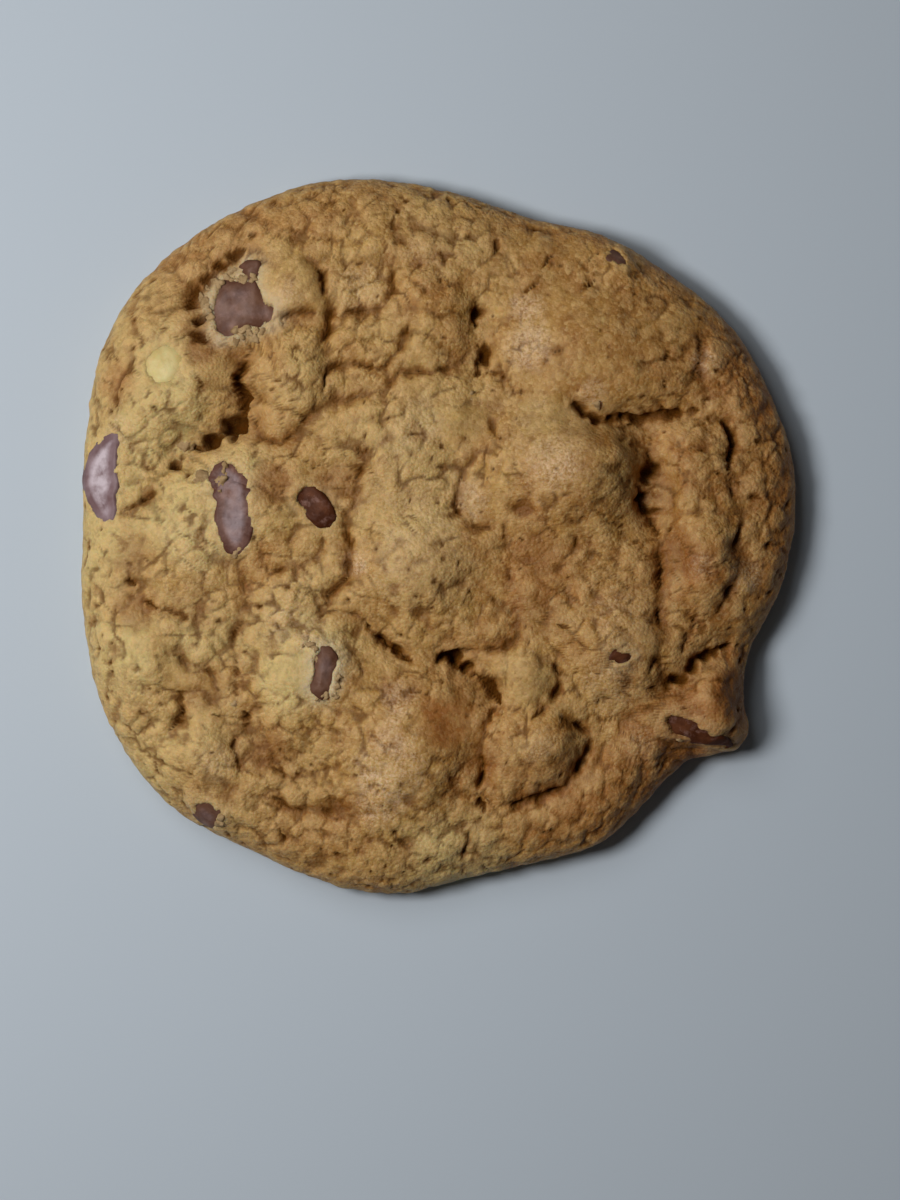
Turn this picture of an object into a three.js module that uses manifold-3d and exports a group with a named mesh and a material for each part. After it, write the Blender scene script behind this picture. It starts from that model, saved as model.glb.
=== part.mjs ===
// A baked chocolate chip cookie. The dough is one irregular round with a lumpy, cracked crown, a
// rounded edge and a flat base. The chocolate chips and the nut piece that show at its surface are
// solids of their own, each seated in a pocket of the dough.
// Millimetres, +Z up. The origin is the middle of the outline, on the surface the cookie lies on.
import * as THREE from "three";
import { mergeVertices } from "three/addons/utils/BufferGeometryUtils.js";
import Module from "manifold-3d";

// ---- Driving dimensions ----
const WIDTH = 85; // across X
const CROWN_HEIGHT = 10.2; // of the crown's middle, before its mounds
const SHOULDER_HEIGHT = 6.6; // of the top where it starts to round over
const CROWN_FULLNESS = 3; // a larger power keeps the crown flat further out
const BRIM_HEIGHT = 2.9; // where the outline is widest
const EDGE_RADIUS = 5.2; // how far in from the outline the top rounds over
const FOOT_INSET = 1.9; // how far the base lies in from the outline
const POCKET_GAP = 0.3; // between a chip and the dough around it

// How finely the dough is divided.
const SPOKES = 112;
const CROWN_RINGS = 16;
const EDGE_RINGS = 4;
const FOOT_RINGS = 2;

// The outline: [direction in degrees, distance from the middle]. It is flattened at the upper
// right, full at the lower left, and drawn out to a corner at 326 degrees.
const OUTLINE = [
  [0, 42.2], [11, 43.0], [24, 42.9], [36, 42.7], [49, 41.4], [60, 40.8], [75, 39.3],
  [84, 40.3], [97, 42.4], [109, 44.4], [125, 45.6], [140, 46.4], [151, 45.6], [165, 43.4],
  [180, 42.2], [190, 43.0], [206, 44.7], [220, 45.3], [229, 44.8], [238, 43.6], [252, 43.3],
  [263, 42.9], [274, 40.9], [284, 40.5], [298, 41.3], [306, 40.4], [313, 39.7], [319, 40.4],
  [324, 43.5], [327, 43.9], [331, 41.8], [339, 39.4], [350, 41.0],
];

// Mounds of the crown: centre, half lengths along X and Y before the turn, turn in degrees, rise.
const MOUNDS = [
  { at: [13.5, 8], half: [12, 9.5], turn: -10, rise: 2.4 },
  { at: [20, 21.5], half: [14, 9.5], turn: -12, rise: 1.7 },
  { at: [31.5, -2.5], half: [5.5, 7], turn: 10, rise: 1.7 },
  { at: [30, 8], half: [6, 8], turn: 0, rise: 0.9 },
  { at: [-4, -3], half: [11, 8], turn: 20, rise: 1.5 },
  { at: [-5, -25], half: [9, 12], turn: -8, rise: 1.9 },
  { at: [-15, -16.5], half: [7, 8.5], turn: 0, rise: 1.5 },
  { at: [11, -25.5], half: [8, 7], turn: 30, rise: 1.5 },
  { at: [21, -13.5], half: [8.5, 9], turn: 0, rise: 1.3 },
  { at: [10.5, -16], half: [5, 5], turn: 0, rise: 0.8 },
  { at: [-24.5, 3], half: [8, 9], turn: 0, rise: 1.5 },
  { at: [-32, 19], half: [10, 10], turn: 20, rise: 1.5 },
  { at: [-18.5, 29.5], half: [7, 5.5], turn: 0, rise: 1.1 },
  { at: [-18, 18.5], half: [6.5, 7], turn: 0, rise: 1.0 },
  { at: [-4, 12], half: [11, 9], turn: 0, rise: 0.6 },
  { at: [-36, -14.5], half: [6, 6.5], turn: 0, rise: 1.1 },
  { at: [-27.5, -27], half: [7, 6], turn: -30, rise: 1.0 },
  { at: [33, -19.5], half: [5, 7.5], turn: -20, rise: 1.8 },
  { at: [0, 29], half: [8, 8], turn: 0, rise: 0.7 },
];

// Cracks wide enough to be more than surface: their course, half width and depth.
const CRACKS = [
  { course: [[-22.5, 20], [-23.5, 15.5], [-26, 12], [-31, 9.5]], half: 2.6, depth: 2.1 },
  { course: [[17, 13.8], [23, 13], [30, 14.2]], half: 2.1, depth: 1.5 },
  { course: [[24.5, 13], [25, 7.5], [24.6, 1]], half: 2.3, depth: 1.7 },
  { course: [[4.8, 28], [5.2, 24], [4.6, 19.5]], half: 1.9, depth: 1.1 },
  { course: [[0, -14], [3.5, -15.5], [7, -19]], half: 2.0, depth: 1.6 },
  { course: [[-8.5, -11], [-3.5, -14.5]], half: 1.8, depth: 1.0 },
  { course: [[26.5, -19], [30.5, -16], [34, -13]], half: 2.1, depth: 1.3 },
  { course: [[18, -23], [16.5, -27], [12.5, -30.2]], half: 2.0, depth: 1.0 },
  { course: [[-23, -5], [-24, -13], [-23.4, -24]], half: 2.1, depth: 0.9 },
];

// Chocolate chips: where they show, their base width and height, how far the pointed end leans
// from straight up, the direction it leans in, and how far the chip stands out of the dough.
const CHIPS = [
  { at: [-23.2, 27.4], wide: 8.8, tall: 6.5, lean: 160, towards: -35, proud: 1.3 },
  { at: [-36.9, 6.9], wide: 9.2, tall: 4.4, lean: 142, towards: 0, proud: 0.7 },
  { at: [-24.3, 3.2], wide: 7.6, tall: 10, lean: 76, towards: 92, proud: 0.6 },
  { at: [-14.7, 3.9], wide: 7.0, tall: 6.6, lean: 66, towards: 135, proud: 0.6 },
  { at: [-13.4, -15.6], wide: 6.6, tall: 7.2, lean: 70, towards: 74, proud: 0.45 },
  { at: [-25.9, -30.7], wide: 5.6, tall: 4.8, lean: 140, towards: 50, proud: -0.2 },
  { at: [30.2, -21.3], wide: 5.2, tall: 6.4, lean: 84, towards: -32, proud: -0.2 },
  { at: [21.5, -14.2], wide: 7.0, tall: 6.2, lean: 14, towards: 20, proud: 0.45 },
  { at: [20.4, 31.4], wide: 5.4, tall: 5.0, lean: 125, towards: 235, proud: 0.1 },
];

// The one nut piece that shows: centre, half lengths, turn in degrees, stand above the dough.
const NUT = { at: [-32.3, 20.4], half: [3.0, 2.3, 2.0], turn: 110, proud: 0.7 };

// ---- Materials ----
const doughLook = new THREE.MeshStandardMaterial({ color: 0xb08142, roughness: 0.8, metalness: 0 });
const chipLook = new THREE.MeshStandardMaterial({ color: 0x593731, roughness: 0.45, metalness: 0 });
const nutLook = new THREE.MeshStandardMaterial({ color: 0xd8c078, roughness: 0.6, metalness: 0 });

// ---- The dough's form ----
const TURN = 2 * Math.PI;

// The outline as a smooth closed curve through its points.
function outlineCurve() {
  const points = OUTLINE.map(([degrees, distance]) => {
    const direction = THREE.MathUtils.degToRad(degrees);
    return new THREE.Vector3(distance * Math.cos(direction), distance * Math.sin(direction), 0);
  });
  return new THREE.CatmullRomCurve3(points, true, "centripetal");
}

// The outline's distance from its middle in every direction, scaled to WIDTH.
function outlineReach() {
  const points = outlineCurve().getPoints(40 * OUTLINE.length);
  const box = new THREE.Box3().setFromPoints(points);
  const middle = box.getCenter(new THREE.Vector3());
  const scale = WIDTH / (box.max.x - box.min.x);
  const polar = points
    .map((p) => p.sub(middle).multiplyScalar(scale))
    .map((p) => [(Math.atan2(p.y, p.x) + TURN) % TURN, Math.hypot(p.x, p.y)])
    .sort((a, b) => a[0] - b[0]);
  return (direction) => {
    const wanted = ((direction % TURN) + TURN) % TURN;
    const after = polar.findIndex(([angle]) => angle > wanted);
    const next = polar[after < 0 ? 0 : after];
    const last = polar[after > 0 ? after - 1 : polar.length - 1];
    const span = (next[0] - last[0] + TURN) % TURN || 1;
    const share = ((wanted - last[0] + TURN) % TURN) / span;
    return THREE.MathUtils.lerp(last[1], next[1], share);
  };
}

const reach = outlineReach();

// A mound's rise at a point: a smooth ellipse, level at its top and at its border.
function moundRise({ at, half, turn, rise }, x, y) {
  const offset = new THREE.Vector2(x - at[0], y - at[1]);
  offset.rotateAround(new THREE.Vector2(), THREE.MathUtils.degToRad(-turn));
  const away = (offset.x / half[0]) ** 2 + (offset.y / half[1]) ** 2;
  return away < 1 ? rise * (1 - away) ** 2 * (1 + away) : 0;
}

// A crack's depth at a point, from its distance to the nearest stretch of the course.
function crackDepth({ course, half, depth }, x, y) {
  const point = new THREE.Vector3(x, y, 0);
  const nearest = new THREE.Vector3();
  let distance = Infinity;
  for (let i = 1; i < course.length; i++) {
    const stretch = new THREE.Line3(
      new THREE.Vector3(...course[i - 1], 0),
      new THREE.Vector3(...course[i], 0),
    );
    distance = Math.min(distance, stretch.closestPointToPoint(point, true, nearest).distanceTo(point));
  }
  return depth * Math.exp(-((distance / half) ** 2));
}

// The height of the crown over a point: a flat dome, its mounds, less its cracks.
function crownHeight(x, y) {
  const share = Math.hypot(x, y) / reach(Math.atan2(y, x));
  const dome = (CROWN_HEIGHT - SHOULDER_HEIGHT) * (1 - Math.min(share, 1) ** CROWN_FULLNESS);
  const mounds = MOUNDS.reduce((sum, mound) => sum + moundRise(mound, x, y), 0);
  const cracks = CRACKS.reduce((sum, crack) => sum + crackDepth(crack, x, y), 0);
  return SHOULDER_HEIGHT + dome + mounds - cracks;
}

// The rings of the dough, from the middle of the base, up round the edge, to the middle of the
// crown. Each has its radius, given the outline's distance, and the height of its points.
const rings = [{ radius: () => 0, height: () => 0 }];
for (let i = 0; i < FOOT_RINGS; i++) {
  const bend = ((i / FOOT_RINGS) * Math.PI) / 2;
  rings.push({
    radius: (whole) => whole - FOOT_INSET * (1 - Math.sin(bend)),
    height: () => BRIM_HEIGHT * (1 - Math.cos(bend)),
  });
}
for (let i = 0; i < EDGE_RINGS; i++) {
  const bend = ((i / EDGE_RINGS) * Math.PI) / 2;
  rings.push({
    radius: (whole) => whole - EDGE_RADIUS * (1 - Math.cos(bend)),
    height: (x, y) => BRIM_HEIGHT + (crownHeight(x, y) - BRIM_HEIGHT) * Math.sin(bend),
  });
}
for (let i = CROWN_RINGS; i >= 0; i--) {
  const share = i / CROWN_RINGS;
  rings.push({ radius: (whole) => share * (whole - EDGE_RADIUS), height: crownHeight });
}

// The dough: a lathe of the rings, with each point moved out to the outline and up to the crown.
// The lathe turns about Y, so its profile carries the ring's number as its height.
function doughGeometry() {
  const profile = rings.map((_, i) => {
    const pole = i === 0 || i === rings.length - 1;
    return new THREE.Vector2(pole ? 0 : 1, i);
  });
  const geometry = new THREE.LatheGeometry(profile, SPOKES);
  const position = geometry.getAttribute("position");
  for (let i = 0; i < position.count; i++) {
    const ring = rings[Math.round(position.getY(i))];
    const direction = Math.atan2(-position.getZ(i), position.getX(i));
    const radius = ring.radius(reach(direction));
    const x = radius * Math.cos(direction);
    const y = radius * Math.sin(direction);
    position.setXYZ(i, x, y, Math.max(ring.height(x, y), 0));
  }
  return geometry;
}

// ---- Chips and nut ----

// A chocolate chip: a rounded cone on a flat base, round the Z axis, with its middle at the origin.
function chipGeometry({ wide, tall }) {
  const radius = wide / 2;
  const profile = [
    [0, 0], [0.8, 0], [0.96, 0.09], [1, 0.22], [0.9, 0.44], [0.62, 0.72], [0.3, 0.93], [0, 1],
  ].map(([across, up]) => new THREE.Vector2(across * radius, (up - 0.5) * tall));
  return new THREE.LatheGeometry(profile, 14).rotateX(Math.PI / 2);
}

// A nut piece: a rounded, squashed lump.
function nutGeometry({ half }) {
  return new THREE.IcosahedronGeometry(1, 2).scale(...half);
}

// Sets a turned piece over a point of the crown, with its top this far above the dough there.
function seat(mesh, { at, proud }) {
  const box = new THREE.Box3().setFromObject(mesh, true);
  mesh.position.set(at[0], at[1], surfaceHeight(at[0], at[1]) + proud - box.max.z);
}

// The height of the dough's top over a point, with the edge rounded over.
function surfaceHeight(x, y) {
  const inset = reach(Math.atan2(y, x)) - Math.hypot(x, y);
  const share = THREE.MathUtils.clamp(1 - inset / EDGE_RADIUS, 0, 1);
  return BRIM_HEIGHT + (crownHeight(x, y) - BRIM_HEIGHT) * Math.sqrt(1 - share ** 2);
}

// ---- Assembly ----
const wasm = await Module();
wasm.setup();

// A mesh's geometry, placed by its matrix, as a manifold solid.
function solidOf(geometry, matrix) {
  const placed = geometry.clone().applyMatrix4(matrix);
  placed.deleteAttribute("normal");
  placed.deleteAttribute("uv");
  const merged = mergeVertices(placed, 1e-3);
  return new wasm.Manifold(
    new wasm.Mesh({
      numProp: 3,
      vertProperties: new Float32Array(merged.getAttribute("position").array),
      triVerts: new Uint32Array(merged.index.array),
    }),
  );
}

function geometryOf(solid) {
  const { vertProperties, triVerts, numProp } = solid.getMesh();
  const geometry = new THREE.BufferGeometry();
  const position = new Float32Array((vertProperties.length / numProp) * 3);
  for (let i = 0; i < position.length / 3; i++) {
    position.set(vertProperties.subarray(i * numProp, i * numProp + 3), 3 * i);
  }
  geometry.setAttribute("position", new THREE.BufferAttribute(position, 3));
  geometry.setIndex(new THREE.BufferAttribute(triVerts, 1));
  geometry.computeVertexNormals();
  return geometry;
}

const cookie = new THREE.Group();
let dough = solidOf(doughGeometry(), new THREE.Matrix4());

// Adds a piece of this size to the cookie, and cuts its pocket, a little larger, from the dough.
function embed(mesh, name, size) {
  mesh.name = name;
  mesh.updateMatrix();
  const pocket = mesh.geometry.clone().scale(...size.map((s) => 1 + (2 * POCKET_GAP) / s));
  dough = dough.subtract(solidOf(pocket, mesh.matrix));
  cookie.add(mesh);
}

CHIPS.forEach((chip, i) => {
  const mesh = new THREE.Mesh(chipGeometry(chip), chipLook);
  const lean = THREE.MathUtils.degToRad(chip.lean);
  mesh.rotation.set(0, lean, THREE.MathUtils.degToRad(chip.towards), "ZYX");
  seat(mesh, chip);
  embed(mesh, `chip_${i + 1}`, [chip.wide, chip.wide, chip.tall]);
});

const nut = new THREE.Mesh(nutGeometry(NUT), nutLook);
nut.rotation.z = THREE.MathUtils.degToRad(NUT.turn);
seat(nut, NUT);
embed(nut, "nut", NUT.half.map((h) => 2 * h));

const doughMesh = new THREE.Mesh(geometryOf(dough), doughLook);
doughMesh.name = "dough";
cookie.add(doughMesh);

export default cookie;
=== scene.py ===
"""A baked chocolate chip cookie: the looks around its CAD frame.

The dough's broad form is felt out from the CAD dough by rays, on a grid wrapped over the crown and
round the edge. Cracks, pits, lumps and grain are then worked into that grid, and each chip and the
nut piece lies in a window of it. Lengths are in millimetres, except those of the finished meshes,
the floor, the camera and the lights.
"""

import math
import random

import bpy
import numpy as np
from mathutils import Euler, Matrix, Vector, noise
from mathutils.bvhtree import BVHTree


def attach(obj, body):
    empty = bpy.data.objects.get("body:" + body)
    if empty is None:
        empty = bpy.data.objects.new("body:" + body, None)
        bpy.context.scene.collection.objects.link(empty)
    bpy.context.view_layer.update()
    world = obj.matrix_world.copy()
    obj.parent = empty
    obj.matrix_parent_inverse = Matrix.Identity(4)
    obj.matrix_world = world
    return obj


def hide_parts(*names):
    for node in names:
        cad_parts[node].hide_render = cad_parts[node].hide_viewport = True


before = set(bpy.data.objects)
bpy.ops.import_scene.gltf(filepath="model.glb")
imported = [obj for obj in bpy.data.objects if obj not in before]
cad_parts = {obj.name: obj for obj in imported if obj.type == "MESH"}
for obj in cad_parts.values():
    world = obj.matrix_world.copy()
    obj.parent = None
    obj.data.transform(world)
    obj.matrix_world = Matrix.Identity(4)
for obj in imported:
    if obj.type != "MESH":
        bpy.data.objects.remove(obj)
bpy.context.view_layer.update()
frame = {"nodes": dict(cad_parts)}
MM = 0.001

# ---- The dough's grid ----
CELLS = 300  # across the crown and down both sides
INDEX = np.arange((CELLS + 1) ** 2).reshape(CELLS + 1, CELLS + 1)  # of its points
UNDER_STEP = 4  # cells of the crown's border to each cell of the underside
UNDERSIDE = 2.0  # the value there of the look that is 0 on top and 1 down the side
# The pillow from which the CAD dough is felt has about its section.
PILLOW_TOP = 8.5
PILLOW_BRIM = 2.9
PILLOW_EDGE = 5.2
PILLOW_FOOT = 1.9
REACH = 12.0  # how far outside the pillow a ray starts
DEEPEST = 4.0  # how far inside the pillow the CAD dough still counts
OUTSIDE = 80.0  # well off the cookie
ABOVE = 40.0  # well over it
OUTLINE_STEPS = 720
HALF_WIDTH = 42.0
SOFTEN = 1.0  # radius over which the CAD's facets are smoothed out
BRIDGE = 2.8  # radius from which the form over a chip is taken
CRUST = 0.45  # how far the crust stands out beyond the CAD dough all round

# ---- The crust's grain, from its folds down ----
FOLD_SIZE = 3.4
FOLD_HEIGHT = 0.38
CLUMP_SIZE = 2.7
CLUMP_HEIGHT = 0.2
CLUMPY_HEIGHT = 0.3  # more of it, where the crust is clumpy
CRUMB_SIZE = 1.25
CRUMB_HEIGHT = 0.19
GRAIN_SIZE = 0.72
GRAIN_HEIGHT = 0.12
CRYSTAL = 0.42  # the finest grain, in the material only
PIT_SPACING = 1.25
PIT_DEPTH = 0.3
LINE_DEPTH = 0.16  # of the fine cracks between lumps
HOLLOW_DEPTH = 0.35

# ---- Chips ----
PROUD = 0.3  # how far a chip may stand out of the skin
SUNK = 0.45  # how far under it a chip may lie in its window

# ---- Cracks: [half width, depth, course] ----
# Clefts are open and darkened with painted shade, seams part two plates, and slits are short and
# fine.
CLEFTS = [
    (0.9, 1.6, [(-28.7, 25.4), (-27.4, 25.9)]), (1.3, 1.3, [(-28.6, 24), (-27.3, 23.2)]),
    (0.8, 1, [(-29.6, 27.2), (-27.8, 29.6), (-26.1, 31.6), (-24.6, 33.1), (-22.8, 33.8)]),
    (0.55, 2, [(-22.6, 21), (-23.6, 18.5), (-22.9, 16), (-23.2, 13.6)]),
    (1.05, 3, [(-23, 14.2), (-24, 12.5), (-25.6, 11.7)]),
    (0.6, 2.4, [(-25.2, 11.8), (-27.5, 11.2), (-29.2, 10.2)]),
    (0.7, 2, [(-30.2, 9.2), (-31.6, 8.4)]),
    (0.5, 1.1, [(15.6, 15.6), (17.4, 14), (19, 13.6), (21.5, 13.9), (24, 13.4), (28, 14.2),
        (30.8, 14.9)]),
    (0.5, 1.6, [(33.4, 13.6), (34.6, 12.2), (34.9, 10.2), (34.4, 8)]),
    (0.6, 1.2, [(24.6, 9.4), (25.1, 8.3), (24.8, 6)]),
    (0.4, 1.2, [(23.9, 6), (24.4, 3.4), (25, 2.4), (25.8, 2.8)]),
    (0.75, 2.4, [(0.2, -14.6), (1.4, -13.6), (2.6, -15.2), (4.4, -16.4)]),
    (0.5, 1.4, [(4.4, -16.4), (6.2, -17.4), (7.2, -19.6)]),
    (0.45, 1.6, [(-8.4, -10.6), (-6.6, -12.3), (-5.4, -13.2), (-3.6, -14.4)]),
    (0.45, 1.3, [(4.4, 27.4), (4.8, 26), (4.5, 24.6)]),
    (0.7, 1.4, [(5.3, 22.8), (5.2, 20.8), (4.6, 19.4)]), (0.5, 2, [(-37, -5.2), (-36.4, -6.2)]),
    (0.5, 1.2, [(-34.6, -7.6), (-33.6, -8.4)]),
    (0.6, 1.3, [(26.8, -17.6), (29.2, -16.4), (31, -14.6), (33.4, -13.1)]),
    (0.4, 1.2, [(33.4, -13.1), (35.6, -12.9)]), (0.6, 1.5, [(4.9, -31.2), (5.2, -32.4)]),
    (0.4, 1.1, [(4.9, -26), (5.1, -28.2), (4.7, -30.6)]),
    (0.5, 1.1, [(-30.4, -18.4), (-30.3, -20.6), (-31.4, -22.8)]),
    (0.6, 1.2, [(-22.8, -20.6), (-22, -21.8)]),
]
SEAMS = [
    (0.34, 0.8, [(-22.3, 14), (-20.6, 11.2), (-18.6, 11), (-15.6, 13.4), (-14, 15.4), (-10.6, 16.4),
        (-6.6, 17.4), (-4, 19.4), (-0.6, 18.9), (2.6, 20.6), (4.8, 22.4)]),
    (0.3, 0.7, [(-13.4, 16.6), (-13.4, 19), (-12, 20.2), (-6.2, 20.2), (-4.4, 22.6), (-3.4, 25)]),
    (0.4, 0.9, [(-14.6, 21.6), (-12.8, 24), (-12.6, 27), (-13.6, 30), (-15, 33.4)]),
    (0.26, 0.5, [(-19.2, 25.8), (-16, 26.3), (-13.4, 26)]),
    (0.28, 0.5, [(-12.2, 26.2), (-9.6, 26.6), (-6.2, 27), (-5.4, 30), (-5.2, 34), (-5, 38)]),
    (0.3, 0.7, [(5.2, 19.4), (7.4, 19.6), (7.6, 17)]),
    (0.36, 0.8, [(21.8, 12.6), (24.4, 10.8), (25.3, 8.4)]),
    (0.34, 0.9, [(25, 2.6), (26, -1), (26.1, -5), (25.9, -8), (26.6, -12)]),
    (0.3, 0.6, [(34.3, 7.6), (34.2, 5.6), (35.1, 3.8), (35.8, 0)]),
    (0.4, 0.8, [(35.6, 0.4), (35.8, -3), (34.6, -6), (33, -9)]),
    (0.36, 0.8, [(-9.4, 11), (-8.8, 8.4), (-9.6, 6), (-9.7, 4), (-10.8, 2), (-11, 0), (-10.6, -4),
        (-12.6, -7), (-14.6, -9.4)]),
    (0.3, 0.6, [(-21, -3.6), (-17, -4.3), (-14.2, -2.6), (-13.4, 0.2)]),
    (0.3, 0.5, [(-23.6, -3.2), (-22.8, -7), (-23.1, -10), (-24.3, -12.6), (-24, -16), (-24, -19)]),
    (0.3, 0.6, [(-22, -21.6), (-24, -25), (-23.4, -28)]),
    (0.26, 0.5, [(-33.6, -8.2), (-30, -9.2), (-27, -9.6)]),
    (0.28, 0.6, [(-31, -14), (-29, -16), (-27, -15.6), (-26, -18)]),
    (0.26, 0.5, [(-14.4, -9.4), (-12, -8.8), (-8, -10)]),
    (0.28, 0.6, [(-11.2, -12.4), (-9.4, -14.6), (-9, -17)]),
    (0.3, 0.6, [(9.6, -9), (9.4, -12), (7, -13.4), (4, -13.6), (2, -13.4)]),
    (0.36, 0.8, [(13.6, -13.8), (14.6, -16.4), (14.1, -18.6), (12.6, -20), (10.8, -21.2)]),
    (0.28, 0.6, [(7.2, -19.6), (5.4, -22), (5.1, -26)]),
    (0.4, 0.9, [(8, -31.6), (12, -31), (15, -29.6), (17.4, -26.6), (18.2, -24.2), (17, -22.6),
        (14.4, -21.4)]),
    (0.3, 0.6, [(24.8, -16.2), (27.4, -14)]),
    (0.34, 0.7, [(-21, -30.6), (-17, -32.2), (-13, -32.5), (-9.8, -32)]),
    (0.3, 0.6, [(-5.6, -34.8), (-3.6, -37), (-4, -39.6)]),
    (0.34, 0.8, [(-32.6, 5.6), (-34.6, 4.4), (-37.4, 2.6)]),
    (0.3, 0.6, [(5, 10), (2.6, 8), (2, 4), (3.4, 1.4), (6, 1)]),
    (0.28, 0.5, [(6, 15), (6, 13.4), (6.8, 11.4)]),
    (0.3, 0.6, [(30.6, 24.6), (31.1, 20), (31.4, 16)]),
    (0.3, 0.6, [(-14, -28), (-17.6, -28.8), (-20.6, -27)]),
    (0.26, 0.5, [(-36, 21), (-38.2, 17.6), (-38.2, 14.6)]),
    (0.26, 0.5, [(5, -33), (3.4, -36), (3, -40)]),
    (0.26, 0.5, [(30.6, -7), (30.2, -11), (28.6, -14)]),
]
SLITS = [
    (0.32, 0.8, [(7, 35), (6.4, 33)]), (0.34, 0.8, [(10, 29), (11.6, 29.8)]),
    (0.3, 0.7, [(12.4, 31.8), (13.6, 33.4)]), (0.32, 0.7, [(27, 22), (26.7, 20)]),
    (0.28, 0.8, [(26.8, 18.4), (26.5, 17)]), (0.28, 0.7, [(16.2, 4), (16.2, 2.8)]),
    (0.24, 0.6, [(16, 0), (15.9, -2)]), (0.3, 0.7, [(13.4, 21.6), (14.8, 22.1)]),
    (0.3, 0.7, [(-9.6, 32.2), (-8.2, 32)]), (0.28, 0.6, [(0, 33.4), (0.6, 32.2)]),
    (0.3, 0.7, [(17, 29.8), (18.6, 30.2)]), (0.26, 0.6, [(-3.4, 11.6), (-1.8, 12)]),
    (0.34, 0.8, [(-26.6, -21), (-25.6, -21.3)]), (0.34, 0.8, [(-18.6, -26.2), (-17.4, -26.5)]),
    (0.3, 0.7, [(-19, -34.6), (-18.4, -36.6)]), (0.3, 0.7, [(-13.8, 30.8), (-12.8, 31.6)]),
    (0.3, 0.6, [(15.2, -11.2), (14, -10.4)]), (0.3, 0.6, [(36.6, 4.6), (38, 4.2)]),
    (0.26, 0.6, [(-35.2, -20.2), (-34.6, -21)]), (0.3, 0.6, [(13, -34.6), (13.6, -35)]),
    (0.3, 0.7, [(-28.4, 18.2), (-27.6, 17)]), (0.32, 0.8, [(-14.8, 7.6), (-14.2, 8.2)]),
]

# ---- Windows: where the dough is open over a chip or the nut piece ----
# The CAD node in it, its depth, its lip's height, how much painted shade darkens it inside, how
# creamy the lip is, and its border.
WINDOWS = [
    ("chip_1", 1.3, 0.12, 0.5, 0.8, [(-26.4, 28.4), (-25.1, 29.8), (-23.6, 29.5), (-22.1, 29.9),
        (-21.4, 28.8), (-20.3, 27.5), (-19, 26.6), (-19.4, 25.3), (-21.4, 25.1), (-22.8, 25.4),
        (-24.4, 23.8), (-25.7, 23.7), (-26.4, 25.4), (-26.9, 26.8)]),
    ("chip_1", 1, 0.05, 0.4, 0.6, [(-23.2, 31.6), (-22.5, 32.1), (-21.5, 32.1), (-21.7, 30.9),
        (-22.4, 30.4)]),
    ("chip_2", 1.2, 0.1, 0.5, 0, [(-37.9, 12), (-38.9, 11.6), (-40.1, 10.8), (-41, 9.6), (-41.6, 8.2),
        (-41.9, 6.7), (-41.6, 5.2), (-41, 4), (-40.1, 2.6), (-38.9, 1.7), (-38.5, 3.1), (-38.8, 4.9),
        (-38.2, 6.1), (-38.6, 7.9), (-38.4, 10)]),
    ("chip_3", 1.6, 0.2, 0.7, 0.2, [(-26, 8), (-25, 8.5), (-24, 8.2), (-23, 7.2), (-22.5, 5.6),
        (-22.3, 3.6), (-22.2, 1.4), (-22.6, -0.6), (-23.6, -1.8), (-24.6, -1.6), (-25.4, -0.2),
        (-25.9, 2), (-25.7, 4), (-26.4, 5.4), (-26.6, 6.8)]),
    ("chip_4", 1.4, 0.1, 0.6, 0.1, [(-16.9, 4.6), (-15.9, 5.6), (-15, 5.5), (-13.8, 4.6),
        (-12.9, 3.4), (-12.5, 2.2), (-12.8, 1.5), (-13.9, 1.4), (-14.8, 2.2), (-15.8, 3.2),
        (-16.6, 3.9)]),
    ("chip_5", 1.3, 0.1, 0.5, 0.9, [(-13.6, -13.3), (-12.8, -13.4), (-12.2, -14.3), (-12, -15.4),
        (-12.3, -16.6), (-13, -18.2), (-13.8, -18.9), (-14.6, -18.2), (-14.9, -17), (-14.6, -15.6),
        (-14.2, -14.4)]),
    ("chip_6", 1.1, 0.1, 0.5, 0.2, [(-28.4, -31.5), (-27, -31.9), (-25.8, -32.9), (-26.4, -34.2),
        (-27.2, -35.2), (-28.6, -34.2), (-28.7, -32.8)]),
    ("chip_7", 1.1, 0.15, 0.9, 0.1, [(27, -21.2), (28.6, -21.3), (30.4, -22.3), (32.2, -23.3),
        (34.4, -24.7), (32.6, -24.5), (30.6, -24), (28.4, -23.7), (27.2, -23)]),
    ("chip_8", 0.8, 0.1, 0.7, 0.3, [(20.1, -13.5), (21.4, -13.3), (22.8, -13.9), (22.2, -14.9),
        (20.6, -14.8)]),
    ("chip_9", 0.9, 0.1, 0.6, 0, [(20.2, 33.6), (21.4, 33.4), (22.5, 32.7), (22.2, 32.2), (21, 32.5),
        (20.2, 33)]),
    ("nut", 0.5, 0, 0, 0, [(-31.7, 22.7), (-32.8, 22.6), (-33.7, 21.7), (-34.4, 20.6), (-34.7, 19.6),
        (-34.1, 18.5), (-33, 17.6), (-32, 17.6), (-31.1, 18.9), (-30.4, 20.4), (-30.6, 21.9)]),
]
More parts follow.
